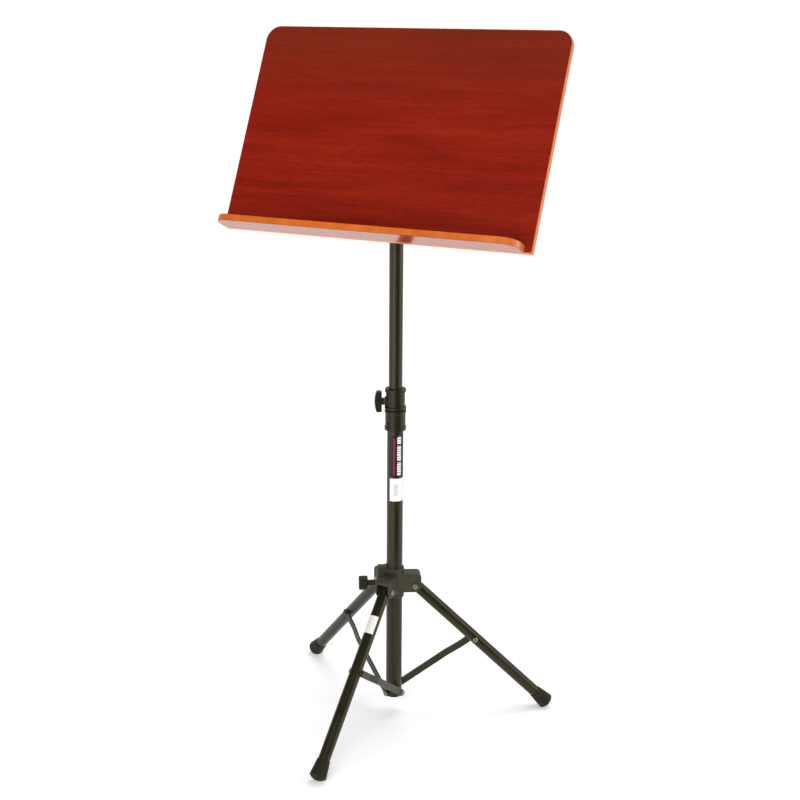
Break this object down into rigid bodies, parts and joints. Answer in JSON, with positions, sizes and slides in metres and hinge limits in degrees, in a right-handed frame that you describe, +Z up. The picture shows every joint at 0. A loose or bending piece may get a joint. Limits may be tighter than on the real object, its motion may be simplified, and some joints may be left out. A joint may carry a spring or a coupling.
{
  "type": "music stand",
  "caption": "Folding sheet-music stand: tilting wooden desk with a ledge, on a telescopic steel mast with a clamp clutch and a folding braced tripod.",
  "frame": {"origin": "the middle of the stand's footprint, on the floor", "axes": "+Z up, the music side of the desk faces -Y, +X to the right of someone facing the music"},
  "size_m": [0.558, 0.4472, 1.214],
  "materials": {
    "tube_paint": "semi-gloss powder coat",
    "brace_paint": "semi-gloss powder coat",
    "bracket_paint": "semi-gloss powder coat",
    "hub_moulding": "moulded glass-filled nylon, light sheen",
    "moulded_black": "moulded plastic, light sheen",
    "boot_rubber": "moulded rubber",
    "nylon_grey": "plain nylon",
    "zinc": "bright zinc plate",
    "brass": "turned brass",
    "rosewood_veneer": "dark red lacquered rosewood veneer",
    "core_wood": "orange-stained, lacquered plywood edge"
  },
  "bodies": {
    "column": {"column_tube": "tube_paint", "column_end_plug": "moulded_black", "brace_pins": "zinc", "clutch_socket": "moulded_black", "clutch_set_screw": "bracket_paint", "clutch_collar": "moulded_black", "clutch_thread_insert": "brass", "clutch_liner": "nylon_grey"},
    "clutch_knob": {"clutch_knob_grip": "moulded_black", "clutch_knob_stud": "zinc", "clutch_pressure_pad": "nylon_grey"},
    "mast_bush": {"mast_guide_bush": "nylon_grey"},
    "mast": {"mast_tube": "tube_paint", "tilt_head": "moulded_black", "tilt_head_pin": "zinc", "mast_end_cap": "moulded_black", "mast_stop_ring": "zinc"},
    "desk": {"desk_core": "core_wood", "desk_face_veneer": "rosewood_veneer", "desk_back_veneer": "rosewood_veneer", "ledge_core": "core_wood", "ledge_top_veneer": "rosewood_veneer", "ledge_underside_veneer": "rosewood_veneer", "ledge_screws": "zinc", "tilt_bracket": "bracket_paint", "bracket_screws": "zinc", "tilt_bolt": "zinc", "tilt_washers": "nylon_grey"},
    "tilt_knob": {"tilt_knob_grip": "moulded_black", "tilt_knob_insert": "brass"},
    "hub": {"hub_body": "hub_moulding", "hub_thread_insert": "brass", "leg_pivot_bolts": "zinc", "leg_pivot_nuts": "zinc"},
    "hub_knob": {"hub_knob_grip": "moulded_black", "hub_knob_stud": "zinc", "hub_pressure_pad": "nylon_grey"},
    "front_leg": {"leg_tube_front": "tube_paint", "leg_top_plug_front": "moulded_black", "foot_front": "boot_rubber", "leg_rivet_front": "zinc"},
    "front_brace": {"brace_front": "brace_paint", "brace_rivet_front": "brace_paint"},
    "right_leg": {"leg_tube_right": "tube_paint", "leg_top_plug_right": "moulded_black", "foot_right": "boot_rubber", "leg_rivet_right": "zinc"},
    "right_brace": {"brace_right": "brace_paint", "brace_rivet_right": "brace_paint"},
    "left_leg": {"leg_tube_left": "tube_paint", "leg_top_plug_left": "moulded_black", "foot_left": "boot_rubber", "leg_rivet_left": "zinc"},
    "left_brace": {"brace_left": "brace_paint", "brace_rivet_left": "brace_paint"}
  },
  "joints": [
    {"name": "mast_slide", "type": "slide", "parent": "column", "child": "mast_bush", "axis": [0, 0, 1], "range_m": [-0.23, 0.1]},
    {"name": "mast_turn", "type": "hinge", "parent": "mast_bush", "child": "mast", "pos_m": [0, 0.06894, 0.4271], "axis": [0, 0, 1], "continuous": true},
    {"name": "desk_tilt", "type": "hinge", "parent": "mast", "child": "desk", "pos_m": [0, 0.06894, 0.99504], "axis": [-1, 0, 0], "range_deg": [-25.6, 60]},
    {"name": "tilt_knob_turn", "type": "hinge", "parent": "desk", "child": "tilt_knob", "pos_m": [0.02, 0.06894, 0.99504], "axis": [1, 0, 0], "range_deg": [0, 360]},
    {"name": "clutch_knob_turn", "type": "hinge", "parent": "column", "child": "clutch_knob", "pos_m": [-0.01732, 0.05894, 0.5907], "axis": [-0.866, -0.5, 0], "range_deg": [0, 360]},
    {"name": "hub_slide", "type": "slide", "parent": "column", "child": "hub", "axis": [0, 0, 1], "range_m": [0, 0.11972]},
    {"name": "hub_knob_turn", "type": "hinge", "parent": "hub", "child": "hub_knob", "pos_m": [-0.03464, 0.04894, 0.2527], "axis": [-0.866, -0.5, 0], "range_deg": [0, 360]},
    {"name": "front_leg_hinge", "type": "hinge", "parent": "hub", "child": "front_leg", "pos_m": [0, 0.03234, 0.2494], "axis": [1, 0, 0], "range_deg": [0, 45.75]},
    {"name": "front_brace_hinge", "type": "hinge", "parent": "column", "child": "front_brace", "pos_m": [0.0159, 0.06894, 0.0374], "axis": [-1, 0, 0], "range_deg": [0, 43.26]},
    {"name": "right_leg_hinge", "type": "hinge", "parent": "hub", "child": "right_leg", "pos_m": [0.0317, 0.08724, 0.2494], "axis": [-0.5, 0.866, 0], "range_deg": [0, 45.75]},
    {"name": "right_brace_hinge", "type": "hinge", "parent": "column", "child": "right_brace", "pos_m": [-0.00795, 0.08271, 0.0374], "axis": [0.5, -0.866, 0], "range_deg": [0, 43.26]},
    {"name": "left_leg_hinge", "type": "hinge", "parent": "hub", "child": "left_leg", "pos_m": [-0.0317, 0.08724, 0.2494], "axis": [-0.5, -0.866, 0], "range_deg": [0, 45.75]},
    {"name": "left_brace_hinge", "type": "hinge", "parent": "column", "child": "left_brace", "pos_m": [-0.00795, 0.05517, 0.0374], "axis": [0.5, 0.866, 0], "range_deg": [0, 43.26]}
  ],
  "couplings": [
    {"joint": "front_leg_hinge", "follows": "hub_slide", "rad_per_m": 6.6621},
    {"joint": "front_brace_hinge", "follows": "hub_slide", "rad_per_m": 6.299},
    {"joint": "right_leg_hinge", "follows": "hub_slide", "rad_per_m": 6.6621},
    {"joint": "right_brace_hinge", "follows": "hub_slide", "rad_per_m": 6.299},
    {"joint": "left_leg_hinge", "follows": "hub_slide", "rad_per_m": 6.6621},
    {"joint": "left_brace_hinge", "follows": "hub_slide", "rad_per_m": 6.299}
  ]
}
